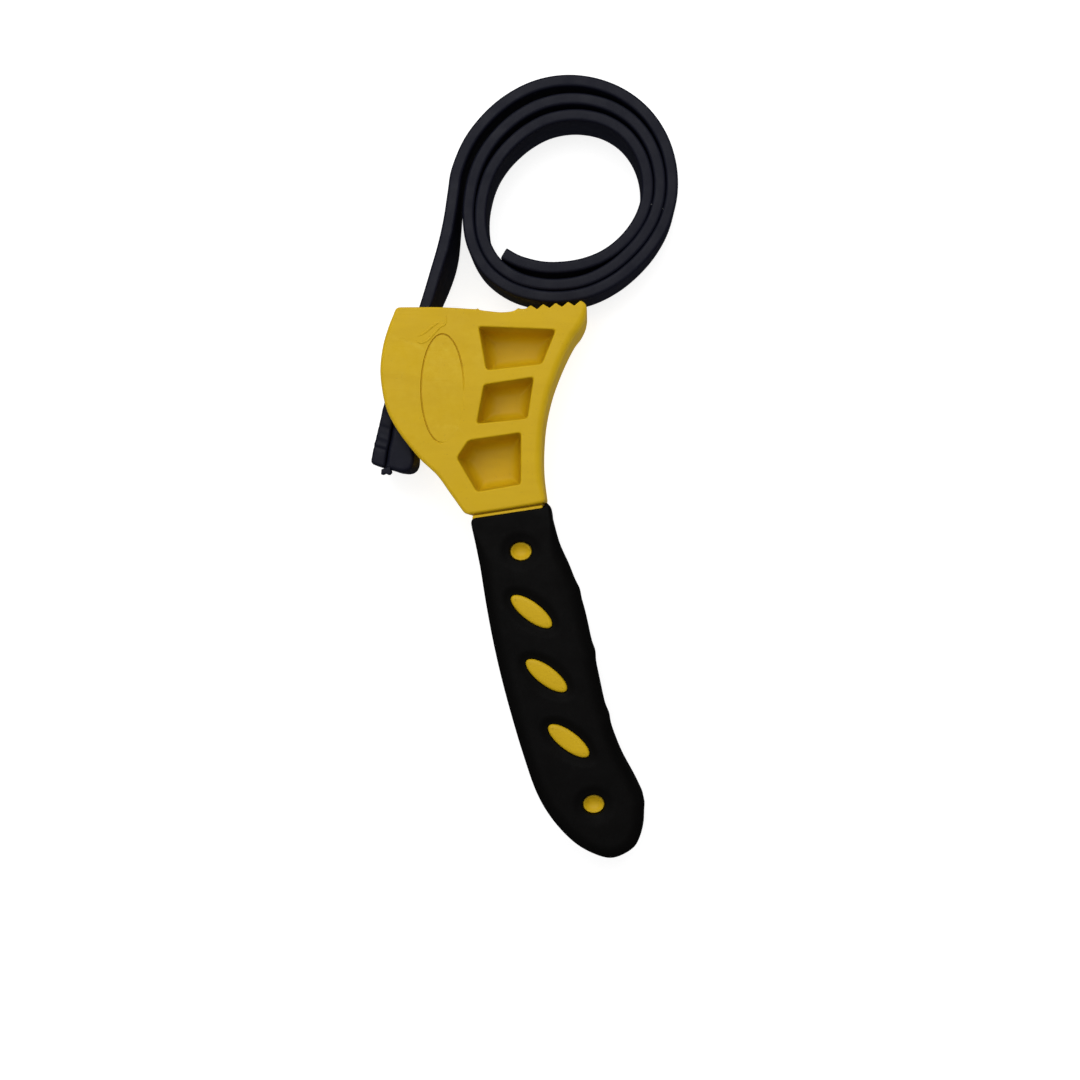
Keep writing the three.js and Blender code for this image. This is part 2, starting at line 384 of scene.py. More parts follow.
POCKETS = [
    [(13.9, -5.3), (34.4, -6.1), (30.7, -15.1), (16.0, -16.8)],
    [(15.3, -20.8), (28.5, -18.8), (26.8, -29.7), (13.4, -31.1)],
    [(11.1, -35.7), (25.1, -33.6), (25, -47.3), (13.4, -49.3), (8.1, -40.3)],
]
POCKET_CORNER = 0.9
POCKET_CORNER_LEAST = 0.5
POCKET_CORNER_TAPER = 0.6
POCKET_DEPTH = 10.0
# (sides moved inwards, depth below the face) from the rim to the floor
POCKET_PROFILE = [(-0.5, 0), (-0.32, 0.04), (-0.15, 0.14), (-0.04, 0.32), (0, 0.6), (0.2, 3),
                  (0.4, 5.6), (0.65, 7.3), (1.05, 8.5), (1.65, 9.3), (2.4, 9.8),
                  (3.2, POCKET_DEPTH)]

OVAL = {"centre": (4.2, -21.8), "long": 14.55, "short": 5.7, "tilt": math.pi / 2}
OVAL_HALF_WIDTH = 0.23
OVAL_FLOOR = 0.35  # share of its width that the groove's floor takes
OVAL_DEPTH = 0.5
OVAL_FADE = 0.95  # share of the depth that is lost at the lower right
OVAL_FADE_FROM = 0.35
OVAL_FADE_RATE = 1.3
OVAL_STEPS = 96
# Two flow creases that the moulding left in the front face, above the oval.
CREASES = [
    [(-2.4, -7.9), (-0.7, -7.0), (0.9, -5.65), (2.5, -4.5), (3.6, -4.0)],
    [(-2.9, -9.0), (-1.5, -9.6), (0.3, -8.85), (1.6, -7.4), (3.5, -5.35), (4.6, -4.8), (5.2, -3.8),
     (5.1, -2.2)],
]
CREASE_WIDTH = 0.75
CREASE_HEIGHT = 0.2
CREASE_TIP = 0.12  # share of its size that is left at each end
CREASE_SIDES = 10
HEAD_ROUNDING_REACH = 5.0  # along the outline, that the rounding of its edge is averaged over


def oval_depth(x, y):
    """Depth of the oval groove, which fades towards its lower right."""
    right = (x - OVAL["centre"][0]) / OVAL["short"]
    up = (y - OVAL["centre"][1]) / OVAL["long"]
    fade = min(1, max(0, (right - up - OVAL_FADE_FROM) * OVAL_FADE_RATE))
    return OVAL_DEPTH * (1 - OVAL_FADE * fade)


def add_face(sheet, outline, normals, radii, front):
    """One face of the head, from the ring where its side wall ends. Returns that ring."""
    def level(depth):
        return FULL - depth if front else depth

    rings = []
    for share, drop in rounding(1.0, 6):
        points = inset(outline, normals, [r * share for r in radii])
        rings.append(sheet.ring(points, [level(r * drop) for r in radii]))
    sheet.walls(rings)
    holes = []
    for corners in POCKETS:
        anticlockwise = corners[::-1]
        pocket = []
        for moved, depth in POCKET_PROFILE:
            sides = offset_corners(anticlockwise, moved)
            corner = max(POCKET_CORNER_LEAST, POCKET_CORNER - moved * POCKET_CORNER_TAPER)
            pocket.append(sheet.ring(round_corners(sides, corner), level(depth)))
        sheet.walls(pocket)
        sheet.fill(pocket[-1])
        holes.append(pocket[0])
    groove = []
    for side in (1, OVAL_FLOOR, -OVAL_FLOOR, -1):
        across = side * OVAL_HALF_WIDTH
        points = ellipse(OVAL["centre"], OVAL["long"] + across, OVAL["short"] + across,
                         OVAL["tilt"], OVAL_STEPS)
        heights = [level(oval_depth(x, y) if abs(side) < 1 else 0) for x, y in points]
        groove.append(sheet.ring(points, heights))
    sheet.walls(groove)
    sheet.fill(groove[-1])
    sheet.fill(rings[-1], groove[0], *holes)
    return rings[0]


# ---------------------------------------------------------------- slot, creases and whole head
BELT_LEAN = math.radians(17.5)  # of the slot and the belt in it, from the y axis
BELT_MOUTH_X = -1.4
PLATE = 3.0  # of the head over and under the slot


def belt_centre(y):
    return BELT_MOUTH_X + y * math.tan(BELT_LEAN)


def beside_belt(y, offset):
    """x at a distance of offset to the right of the belt's centre line."""
    return belt_centre(y) + offset / math.cos(BELT_LEAN)


def slot_cutter():
    """The slanted slot for the belt, flared towards the wedge at its lower end."""
    corners = [
        (beside_belt(4, -2.6), 4), (beside_belt(0.4, -2.5), 0.4), (beside_belt(-1.2, -2), -1.2),
        (beside_belt(-12, -2.1), -12), (beside_belt(-24, -3), -24), (-13.6, -25.6), (-22, -26),
        (-22, -50), (3.8, -50),
        (-2.57, -26.98), (beside_belt(-25, 7), -25), (beside_belt(-1.2, 7), -1.2),
        (beside_belt(0.4, 7.6), 0.4), (beside_belt(4, 7.7), 4),
    ]
    sheet = Sheet()
    low = sheet.ring(corners, PLATE)
    high = sheet.ring(corners, FULL - PLATE)
    sheet.wall(low, high)
    sheet.bm.faces.new(low)
    sheet.bm.faces.new(high)
    return new_object("slot_cutter", sheet.bm)


def make_crease(path):
    """A low, tapering ridge half sunk in the head's front face."""
    fine = spline(path, 6)
    sheet = Sheet()
    rings = []
    for i, (x, y) in enumerate(fine):
        before, after = fine[max(0, i - 1)], fine[min(len(fine) - 1, i + 1)]
        along = Vector((after[0] - before[0], after[1] - before[1])).normalized()
        size = max(CREASE_TIP, math.sin(math.pi * i / (len(fine) - 1)) ** 0.5)
        ring = []
        for k in range(CREASE_SIDES):
            a = 2 * math.pi * k / CREASE_SIDES
            across = CREASE_WIDTH / 2 * size * math.cos(a)
            up = CREASE_HEIGHT * size * math.sin(a)
            ring.append(sheet.bm.verts.new(place(x - along.y * across, y + along.x * across,
                                                 FULL + up)))
        rings.append(ring)
    sheet.walls(rings)
    sheet.bm.faces.new(rings[0])
    sheet.bm.faces.new(rings[-1])
    return new_object("crease", sheet.bm)


def make_head():
    outline, radii = head_outline()
    outline.reverse()
    radii.reverse()
    radii = smoothed(radii, outline, HEAD_ROUNDING_REACH)
    normals = inward(outline)
    sheet = Sheet()
    front = add_face(sheet, outline, normals, radii, True)
    back = add_face(sheet, outline, normals, radii, False)
    sheet.wall(back, front)
    head = new_object("head_shell", sheet.bm)
    cut(head, slot_cutter())
    for path in CREASES:
        cut(head, make_crease(path), "UNION")
    shade(head, CURVED_ANGLE)
    weigh_normals(head)
    return head


# ---------------------------------------------------------------- neck, tang and islands
OVAL_WINDOWS = [(27.95, -81.4), (31.95, -98.55), (37.9, -116.0)]
ROUND_WINDOWS = [(25.05, -65.25), (44.6, -133.1)]
WINDOW_LONG, WINDOW_SHORT = 6.8, 2.62
WINDOW_TILT = math.radians(-37)
WINDOW_STEPS = 56
ROUND_LONG, ROUND_SHORT = 3.05, 2.65
WINDOW_GAP = 0.12  # between a post and the rubber round it
OVAL_POST_TOP = FULL - 0.7
ROUND_POST_TOP = FULL - 2.5
NECK = [(12.6, -51), (12.8, -57.6), (30.9, -55), (30.8, -50)]
NECK_SUNK = 2.2  # how far the neck lies under the faces of head and grip
COLLAR = [(12.1, -55.75), (12.2, -57.9), (31.1, -55.2), (31.0, -52.85)]  # a bead round the neck
COLLAR_SUNK = 0.75
TANG_INSET = 4.6  # from the sides of the grip
TANG_HALF = 6.0  # half of its thickness
# (sides moved inwards, depth below the top) of the posts that show in the windows
DOMED = [(1.5, 0), (0.9, 0.05), (0.45, 0.15), (0.15, 0.35), (0, 0.7)]
DISHED = [(2.2, 0.95), (1.5, 0.8), (0.95, 0.45), (0.6, 0.12), (0.4, 0), (0.2, 0.05), (0.05, 0.2),
          (0, 0.5)]

# (y, left edge, right edge) of the grip
GRIP_STATIONS = [
    (-63, 12.8, 35.2), (-70, 14, 38.3), (-80, 15.6, 41.8), (-90, 17.5, 44.1), (-100, 19.8, 46.2),
    (-110, 22.5, 48.5), (-120, 25.5, 52.1), (-130, 29, 57.2), (-137, 33, 58.2), (-143, 38.4, 56.8),
]
# its rounded end, from left to right
GRIP_TAIL = [(43.6, -146.4), (49.2, -148.0), (54.2, -146.1)]


def rounded_slab(name, outline, low, high, radius, steps=4):
    """A flat piece with rounded edges. The outline runs anticlockwise."""
    normals = inward(outline)
    sheet = Sheet()
    rings = []
    for share, drop in rounding(1.0, steps)[::-1]:
        points = inset(outline, normals, [radius * share] * len(outline))
        rings.append(sheet.ring(points, low + radius * drop))
    for share, drop in rounding(1.0, steps):
        points = inset(outline, normals, [radius * share] * len(outline))
        rings.append(sheet.ring(points, high - radius * drop))
    sheet.walls(rings)
    sheet.fill(rings[0])
    sheet.fill(rings[-1])
    obj = new_object(name, sheet.bm)
    weigh_normals(obj)
    return obj


def join(pieces, name):
    """Several closed shells as one piece."""
    target = pieces[0]
    bm = bmesh.new()
    for piece in pieces:
        bm.from_mesh(piece.data)
    mesh = bpy.data.meshes.new(name)
    bm.to_mesh(mesh)
    bm.free()
    target.data = mesh
    target.name = name
    for piece in pieces[1:]:
        bpy.data.objects.remove(piece)
    return target


def make_island(outline, top, profile):
    """A post of the tang that fills a window of the grip, alike on both sides."""
    normals = inward(outline)
    sheet = Sheet()
    rings = []
    for share, drop in profile:
        points = inset(outline, normals, [share] * len(outline))
        rings.append(sheet.ring(points, top - drop))
    for share, drop in profile[::-1]:
        points = inset(outline, normals, [share] * len(outline))
        rings.append(sheet.ring(points, FULL - top + drop))
    sheet.walls(rings)
    sheet.fill(rings[0])
    sheet.fill(rings[-1])
    return new_object("island", sheet.bm)


def make_tang():
    neck = round_corners(NECK, 0.8)
    pieces = [rounded_slab("neck", neck, NECK_SUNK, FULL - NECK_SUNK, 0.5)]
    collar = round_corners(COLLAR, 0.5)
    pieces.append(rounded_slab("collar", collar, COLLAR_SUNK, FULL - COLLAR_SUNK, 0.42))
    left = [(x + TANG_INSET, y) for y, x, _ in GRIP_STATIONS[:-1]]
    right = [(x - TANG_INSET, y) for y, _, x in GRIP_STATIONS[:-1]][::-1]
    blade = [(15.5, -50.5)] + left + [(45.6, -143)] + right + [(28.5, -50.5)]
    pieces.append(rounded_slab("tang", blade, MIDDLE - TANG_HALF, MIDDLE + TANG_HALF, 0.6))
    for centre in OVAL_WINDOWS:
        outline = ellipse(centre, WINDOW_LONG - WINDOW_GAP, WINDOW_SHORT - WINDOW_GAP, WINDOW_TILT)
        pieces.append(make_island(outline, OVAL_POST_TOP, DOMED))
    for centre in ROUND_WINDOWS:
        outline = ellipse(centre, ROUND_LONG - WINDOW_GAP, ROUND_SHORT - WINDOW_GAP, 0)
        pieces.append(make_island(outline, ROUND_POST_TOP, DISHED))
    tang = join(pieces, "neck_and_tang")
    shade(tang, CURVED_ANGLE)
    return tang


# ---------------------------------------------------------------- the grip
GRIP_EDGE = 4.2  # how far the edge rounding reaches over the face
GRIP_EDGE_DROP = 5.4  # how far it reaches down the side
GRIP_EDGE_STEPS = 9
GRIP_TOP = -54.9  # y of the grip's top edge at x = GRIP_TOP_X
GRIP_TOP_X = 22
GRIP_TOP_SLOPE = 0.142
GRIP_EDGE_LEAST = 0.16  # share of the edge rounding that is left at the top edge
GRIP_EDGE_FROM = 1.5  # below the top edge, where the rounding starts to grow
GRIP_EDGE_GROWTH = 12.0  # over which it grows to the whole
# (away from the window, depth below the face) of the dish round each window
OVAL_DISH = [(2.9, 0), (2.3, 0.07), (1.6, 0.34), (0.95, 0.72), (0.5, 0.9), (0.16, 0.98),
             (0.04, 1.12), (0, 1.4), (0, 5.5)]
ROUND_DISH = [(3.3, 0), (2.6, 0.06), (1.9, 0.3), (1.2, 0.66), (0.6, 0.86), (0.2, 0.98),
              (0.05, 1.15), (0, 1.5), (0, 5.5)]
SCALLOPS = [-75.6, -92.8, -110.2, -132.4]  # small swellings along the grip's outer edge
SCALLOPS_RIGHT_OF = 35
SCALLOP_HEIGHT = 0.4
SCALLOP_REACH = 1.9


def grip_outline():
    """Anticlockwise, with the share of the edge rounding wanted at each point."""
    left = [(x, y) for y, x, _ in GRIP_STATIONS]
    right = [(x, y) for y, _, x in GRIP_STATIONS][::-1]
    side = spline([(11.9, -58.4)] + left + GRIP_TAIL + right + [(33.25, -56.2)], 12)
    swollen = []
    for x, y in side:
        if x > SCALLOPS_RIGHT_OF:
            for at in SCALLOPS:
                x += SCALLOP_HEIGHT * math.exp(-((y - at) / SCALLOP_REACH) ** 2)
        swollen.append((x, y))
    points = swollen + bezier((33.25, -56.2), (32.95, -52.3), (31.9, -52.3), 8)[:-1]
    points += [(31.9, -52.3), (31.6, -52.4)]
    points += bezier((31.6, -52.4), (31.3, -53.5), (30.4, -53.7), 4)
    points += spline([(30.4, -53.7), (22, -54.95), (13.0, -56.3)], 8)[1:]
    points += bezier((13.0, -56.3), (11.5, -56.5), (11.9, -58.4), 8)[:-1]
    shares = []
    for x, y in points:
        along = (y - GRIP_TOP) - (x - GRIP_TOP_X) * GRIP_TOP_SLOPE
        grown = (-along - GRIP_EDGE_FROM) / GRIP_EDGE_GROWTH
        shares.append(min(1.0, max(GRIP_EDGE_LEAST, grown)))
    return points, shares


def make_grip():
    outline, shares = grip_outline()
    normals = inward(outline)
    sheet = Sheet()
    outer = []
    for front in (True, False):
        rings = []
        for share, drop in rounding(1.0, GRIP_EDGE_STEPS):
            points = inset(outline, normals, [GRIP_EDGE * share * s for s in shares])
            heights = [GRIP_EDGE_DROP * drop * s for s in shares]
            rings.append(sheet.ring(points, [FULL - h if front else h for h in heights]))
        sheet.walls(rings)
        outer.append(rings[0])
        windows = [(c, WINDOW_LONG, WINDOW_SHORT, WINDOW_TILT, OVAL_DISH) for c in OVAL_WINDOWS]
        windows += [(c, ROUND_LONG, ROUND_SHORT, 0, ROUND_DISH) for c in ROUND_WINDOWS]
        rims = []
        for centre, long, short, tilt, dish in windows:
            hole = []
            for away, depth in dish:
                points = ellipse(centre, long + away, short + away, tilt, WINDOW_STEPS)
                hole.append(sheet.ring(points, FULL - depth if front else depth))
            sheet.walls(hole)
            sheet.fill(hole[-1])
            rims.append(hole[0])
        sheet.fill(rings[-1], *rims)
    sheet.wall(outer[1], outer[0])
    grip = new_object("grip", sheet.bm)
    weigh_normals(grip)
    return grip


# ---------------------------------------------------------------- the belt
BELT_WIDTH = 16.0
BELT_THICKNESS = 3.2
BELT_CORNER = 0.75
BELT_END_Y = -41.9
COIL_CENTRE = (36.8, 32.6)
# Radius of the belt's centre line at every eighth of a turn, clockwise from the left.
COIL_RADII = [
    30.3, 29.2, 30.3, 30.7, 29.1, 27.25, 28.5, 30.1,
    25.8, 24.1, 25.3, 26.8, 25.78, 23.95, 25.1, 26.85,
    22.2, 19.7, 20.8, 22.9, 22.45, 20.65, 20.45, 23.6,
]
COIL_Z = BELT_WIDTH / 2 + 0.05
COIL_START_SUNK = 0.94  # share of the way down to the ground where the coil starts
COIL_SINK_RATE = 0.1  # share that it sinks further in each eighth of a turn
RING_SPACING = 1.2
END_SPACING = 0.35  # along the fixed end, which has fine marks
END_LENGTH = 21.0
END_TOP = -20  # y below which the end is thickened
# Left and right side of the thickened fixed end, from the belt's centre line, against y.
END_SIDES = [(-22.5, 1.5, 1.5), (-25, 2.45, 1.5), (-27.5, 2.33, 1.5), (-31, 2.05, 1.56),
             (-36, 1.66, 2.15), (-42.5, 1.1, 2.9)]
# Marks moulded across the fixed end: place along y, height, reach.
END_MARKS = [(-27.45, 0.3, 0.6), (-32.0, -0.45, 0.45), (-34.7, 0.32, 0.5), (-36.6, 0.34, 0.38),
             (-37.5, -0.4, 0.3)]
MARK_SIDEWAYS = 0.12  # share of a mark's height on the broad face
MARK_EDGEWAYS = 0.6  # and on the narrow one
CORD_COUNT = 11
CORD_STEPS = 4  # points on each side of a cord
CORD_FULLNESS = 0.7  # power of the sine that a cord's side follows; under 1 is rounder
CORD_PITCH = 1.2
CORD_RADIUS = 0.5
CORD_WEB = 0.24  # half the ply's thickness between two cords
CORD_SET_BACK = 0.06  # of the ply's ends from the belt's
CORD_ROOM = 0.56  # half the thickness of the room for the ply in the rubber
CORD_ROOM_WIDTH = 13.5
END_ROUNDING = 0.9  # of the moulded, fixed end, along the belt
END_ROUNDING_ACROSS = 0.7  # share of it that the section shrinks by
END_ROUNDING_LEFT = 0.5  # and the share more on its left
CUT_ROUNDING = 0.18  # of the free end
LEAN_MOST = math.radians(7.4)
LEAN_AT = 57.5  # along the belt from its fixed end
LEAN_REACH = 12.0
FREE_SPAN = [(2.5, 9.1, MIDDLE - 0.6), (4.35, 16, MIDDLE - 1.8), (5.45, 23.4, MIDDLE - 3.1)]


def between(x, rows):
    """The other columns of rows at x, eased from one row to the next."""
    rows = sorted(rows)
    if x <= rows[0][0]:
        return rows[0][1:]
    for low, high in zip(rows, rows[1:]):
        if x <= high[0]:
            t = (x - low[0]) / (high[0] - low[0])
            t = t * t * (3 - 2 * t)
            return tuple(a + (b - a) * t for a, b in zip(low[1:], high[1:]))
    return rows[-1][1:]


def belt_points():
    """The belt's centre line, from its fixed end through the head into the coil."""
    points = [(belt_centre(y), y, MIDDLE) for y in (BELT_END_Y, -32, -22, -12)]
    points += [(belt_centre(-4) + 0.3, -4, MIDDLE), (belt_centre(1) + 0.7, 1, MIDDLE)]
    points += FREE_SPAN
    for eighth, radius in spline(list(enumerate(COIL_RADII)), 3):
        angle = math.pi * (1 - eighth / 4)
        sunk = min(1, COIL_START_SUNK + eighth * COIL_SINK_RATE)
        points.append((
            COIL_CENTRE[0] + radius * math.cos(angle),
            COIL_CENTRE[1] + radius * math.sin(angle),
            MIDDLE + (COIL_Z - MIDDLE) * sunk,
        ))
    fine = [Vector(p) for p in spline(points, 12)]
    walked = [0.0]
    for a, b in zip(fine, fine[1:]):
        walked.append(walked[-1] + (b - a).length)
    fixed = [END_SPACING * i for i in range(round(END_LENGTH / END_SPACING))]
    count = round((walked[-1] - END_LENGTH) / RING_SPACING)
    free = [END_LENGTH + (walked[-1] - END_LENGTH) * i / count for i in range(count + 1)]
    path, k = [], 0
    for target in fixed + free:
        while k + 2 < len(walked) and walked[k + 1] < target:
            k += 1
        t = (target - walked[k]) / (walked[k + 1] - walked[k])
        path.append((target, fine[k].lerp(fine[k + 1], t)))
    return path


def belt_frames():
    """At each ring: its point, the direction along, across to the left, and up the width.

    Where it hangs free between head and coil, the belt leans over a little.
    """
    path = belt_points()
    frames = []
    for i, (walked, p) in enumerate(path):
        after, before = path[min(len(path) - 1, i + 1)][1], path[max(0, i - 1)][1]
        along = (after - before).normalized()
        left = Vector((-along.y, along.x, 0)).normalized()
        lean = LEAN_MOST * math.exp(-((walked - LEAN_AT) / LEAN_REACH) ** 2)
        across = left * math.cos(lean) - Vector((0, 0, math.sin(lean)))
        up = left * math.sin(lean) + Vector((0, 0, math.cos(lean)))
        frames.append((p, along, across, up))
    return frames


def strip_section(left, right, half, corner, corner_steps=5, long_steps=8, short_steps=3):
    """Closed outline (across, up) with rounded corners."""
    arcs = []
    for turn, (x, y) in enumerate([(left, half), (-right, half), (-right, -half), (left, -half)]):
        centre = (x - math.copysign(corner, x), y - math.copysign(corner, y))
        angles = [math.pi / 2 * (turn + k / corner_steps) for k in range(corner_steps + 1)]
        arcs.append([(centre[0] + corner * math.cos(a), centre[1] + corner * math.sin(a))
                     for a in angles])
    out = []
    for i, arc in enumerate(arcs):
        out.extend(arc)
        goal = arcs[(i + 1) % 4][0]
        steps = (short_steps, long_steps)[i % 2]
        out.extend(
            tuple(a + (b - a) * k / steps for a, b in zip(arc[-1], goal)) for k in range(1, steps)
        )
    return out


def rubber_section(p, shrink=0.0, shrink_left=0.0):
    """The rubber's outline at a ring, thicker and marked at the fixed end."""
    left = right = BELT_THICKNESS / 2
    half = BELT_WIDTH / 2
    if p.y < END_TOP and p.x < 0:
        left, right = between(p.y, END_SIDES)
        mark = sum(h * math.exp(-((p.y - at) / reach) ** 2) for at, h, reach in END_MARKS)
        left += mark * MARK_SIDEWAYS
        half += mark * MARK_EDGEWAYS
    return strip_section(left - shrink - shrink_left, right - shrink, half - shrink, BELT_CORNER)


def cord_section():
    """A row of cords side by side, as one ribbed ply."""
    side = []
    for k in range(CORD_STEPS * CORD_COUNT + 1):
        along = k / CORD_STEPS
        bulge = math.sin(math.pi * (along % 1)) ** CORD_FULLNESS
        thickness = CORD_WEB + (CORD_RADIUS - CORD_WEB) * bulge
        side.append((thickness, (along - CORD_COUNT / 2) * CORD_PITCH))
    return side + [(-t, w) for t, w in side[::-1]]


def sweep_ring(sheet, at, section, ahead=0.0):
    point, along, across, up = at
    origin = point + along * ahead
    return [sheet.bm.verts.new(place(*(origin + across * a + up * b))) for a, b in section]


def close_end(sheet, at, *rings):
    edges = []
    for ring in rings:
        for a, b in zip(ring, ring[1:] + ring[:1]):
            edges.append(sheet.bm.edges.get((a, b)) or sheet.bm.edges.new((a, b)))
    bmesh.ops.triangle_fill(sheet.bm, use_beauty=True, edges=edges, normal=at[1])


def make_belt():
    frames = belt_frames()
    sheet = Sheet()
    rings = []
    for share, drop in rounding(1.0, 4)[::-1]:
        inwards = END_ROUNDING * share
        section = rubber_section(frames[0][0], inwards * END_ROUNDING_ACROSS,
                                 inwards * END_ROUNDING_LEFT)
        rings.append(sweep_ring(sheet, frames[0], section, END_ROUNDING * drop))
    beyond = math.ceil(END_ROUNDING / END_SPACING)
    rings += [sweep_ring(sheet, at, rubber_section(at[0])) for at in frames[beyond:-1]]
    for share, drop in rounding(1.0, 3):
        section = rubber_section(frames[-1][0], CUT_ROUNDING * share)
        rings.append(sweep_ring(sheet, frames[-1], section, -CUT_ROUNDING * drop))
    sheet.walls(rings)
    room = strip_section(CORD_ROOM, CORD_ROOM, CORD_ROOM_WIDTH / 2, CORD_ROOM * 0.9, 3, 4, 1)
    hollow = [sweep_ring(sheet, at, room) for at in frames]
    sheet.walls(hollow)
    close_end(sheet, frames[0], rings[0], hollow[0])
    close_end(sheet, frames[-1], rings[-1], hollow[-1])
    return new_object("belt", sheet.bm, BELT_ANGLE)


def make_cord_ply():
    frames = belt_frames()
    sheet = Sheet()
    section = cord_section()
    kept = frames[:-1:2] + frames[-1:]
    rings = [sweep_ring(sheet, at, section) for at in kept]
    rings[0] = sweep_ring(sheet, kept[0], section, CORD_SET_BACK)
    rings[-1] = sweep_ring(sheet, kept[-1], section, -CORD_SET_BACK)
    sheet.walls(rings)
    close_end(sheet, kept[0], rings[0])
    close_end(sheet, kept[-1], rings[-1])
    return new_object("cord_ply", sheet.bm, PLY_ANGLE)


# ---------------------------------------------------------------- the stop wedge
SEAM_GAP = 0.12  # to the belt
SEAM_FOOT, SEAM_TOP = -42.5, -24.2
SEAM_STEPS = 19
WEDGE_EDGE = 1.1
WEDGE_EDGE_LEAST = 0.3  # share of the rounding that is left at the wedge's tip
WEDGE_EDGE_GROWTH = 5.0  # how far below the tip it is whole
WEDGE_TIP_FROM = -30  # y above which the rounding thins towards the tip
WEDGE_SPACING = 0.35
TAB_THICKNESS = 3.4
TAB_SUNK = 0.1
TAB = [(-12.65, -43.15), (-12.75, -44.5), (-12.35, -44.6), (-11.5, -44.2), (-10.9, -44.6),
       (-10.5, -44.55), (-10.0, -44.0), (-10.2, -43.1), (-10.4, -42.4), (-11.5, -42.75)]


def make_stop_wedge():
    """A lump of rubber against the belt's fixed end, with a notched tab at its foot."""
    seam = []
    for k in range(SEAM_STEPS + 1):
        y = SEAM_FOOT + (SEAM_TOP - SEAM_FOOT) * k / SEAM_STEPS
        seam.append((beside_belt(y, between(y, END_SIDES)[1] + SEAM_GAP), y))
    flank = spline([(-6.75, -24.6), (-5.3, -32.2), (-3.8, -39.0)], 10)
    heel = bezier((-3.8, -39.0), (-3.3, -43.9), (-7.0, -43.85), 12)
    foot = spline([(-7.0, -43.85), (-8.8, -43.6), (-10.2, -43.15), (-11.6, -42.75)], 6)[1:]
    outline = flank + heel + foot + seam
    outline.reverse()
    outline = resample(outline, WEDGE_SPACING)
    normals = inward(outline)
    edge = []
    for _, y in outline:
        below_tip = (SEAM_TOP - y) / WEDGE_EDGE_GROWTH
        share = min(1.0, max(WEDGE_EDGE_LEAST, below_tip)) if y > WEDGE_TIP_FROM else 1.0
        edge.append(WEDGE_EDGE * share)
    edge = smoothed(edge, outline, 2.0)
    sheet = Sheet()
    low, high = MIDDLE - BELT_WIDTH / 2, MIDDLE + BELT_WIDTH / 2
    rings = []
    for share, drop in rounding(1.0, 5)[::-1]:
        points = inset(outline, normals, [e * share for e in edge])
        rings.append(sheet.ring(points, [low + e * drop for e in edge]))
    for share, drop in rounding(1.0, 5):
        points = inset(outline, normals, [e * share for e in edge])
        rings.append(sheet.ring(points, [high - e * drop for e in edge]))
    sheet.walls(rings)
    sheet.fill(rings[0])
    sheet.fill(rings[-1])
    lump = new_object("stop_wedge_lump", sheet.bm)
    weigh_normals(lump)
    tab = rounded_slab("tab", TAB, high - TAB_THICKNESS, high - TAB_SUNK, 0.25)
    return join([lump, tab], "stop_wedge_lump")


# ---------------------------------------------------------------- materials
class Look:
    """A principled material whose textures are measured in millimetres."""

    def __init__(self, name, **sockets):
        self.material = bpy.data.materials.new(name)
        self.material.use_nodes = True
        self.nodes = self.material.node_tree.nodes
        self.links = self.material.node_tree.links
        self.shader = self.nodes["Principled BSDF"]
        for key, value in sockets.items():
            self.shader.inputs[key.replace("_", " ")].default_value = value
        coordinates = self.nodes.new("ShaderNodeTexCoord")
        self.space = coordinates.outputs["Object"]

    def node(self, kind, settings=None, **inputs):
        node = self.nodes.new("ShaderNode" + kind)
        for key, value in (settings or {}).items():
            setattr(node, key, value)
        for key, value in inputs.items():
            self.put(node.inputs[key.replace("_", " ")], value)
        return node

    def put(self, socket, value):
        if isinstance(value, bpy.types.NodeSocket):
            self.links.new(value, socket)
        else:
            socket.default_value = value

    def stretch(self, scale, turn=0.0):
        """Coordinates with scale units to the millimetre along x, y and z."""
        node = self.node("Mapping", Vector=self.space, Scale=[k / MM for k in scale],
                         Rotation=(0, 0, turn))
        return node.outputs["Vector"]

    def noise(self, scale, detail=3.0, roughness=0.5, turn=0.0):
        if not hasattr(scale, "__len__"):
            scale = (scale, scale, scale)
        node = self.node("TexNoise", Vector=self.stretch(scale, turn), Scale=1.0, Detail=detail,
                         Roughness=roughness)
        return node.outputs["Fac"]

    def ramp(self, factor, low, high, start=0.0, end=1.0):
        node = self.node("MapRange", Value=factor, From_Min=low, From_Max=high, To_Min=start,
                         To_Max=end)
        return node.outputs["Result"]

    def math(self, operation, a, b=0.0):
        node = self.node("Math", {"operation": operation})
        self.put(node.inputs[0], a)
        self.put(node.inputs[1], b)
        return node.outputs[0]

    def mix(self, factor, a, b):
        node = self.node("Mix", {"data_type": "RGBA"})
        self.put(node.inputs[0], factor)
        for socket, value in ((node.inputs[6], a), (node.inputs[7], b)):
            self.put(socket, (*value, 1.0) if isinstance(value, tuple) else value)
        return node.outputs[2]

    def bump(self, height, depth, under=None):
        """A bump of depth millimetres where height goes from 0 to 1."""
        node = self.node("Bump", Height=height, Distance=depth * MM)
        if under is not None:
            self.put(node.inputs["Normal"], under)
        return node.outputs["Normal"]

    def finish(self, color, roughness, normal):
        self.put(self.shader.inputs["Base Color"], color)
        self.put(self.shader.inputs["Roughness"], roughness)
        self.put(self.shader.inputs["Normal"], normal)
        return self.material


def worn_edges(look, low=0.52, high=0.62):
    geometry = look.node("NewGeometry")
    return look.ramp(geometry.outputs["Pointiness"], low, high)


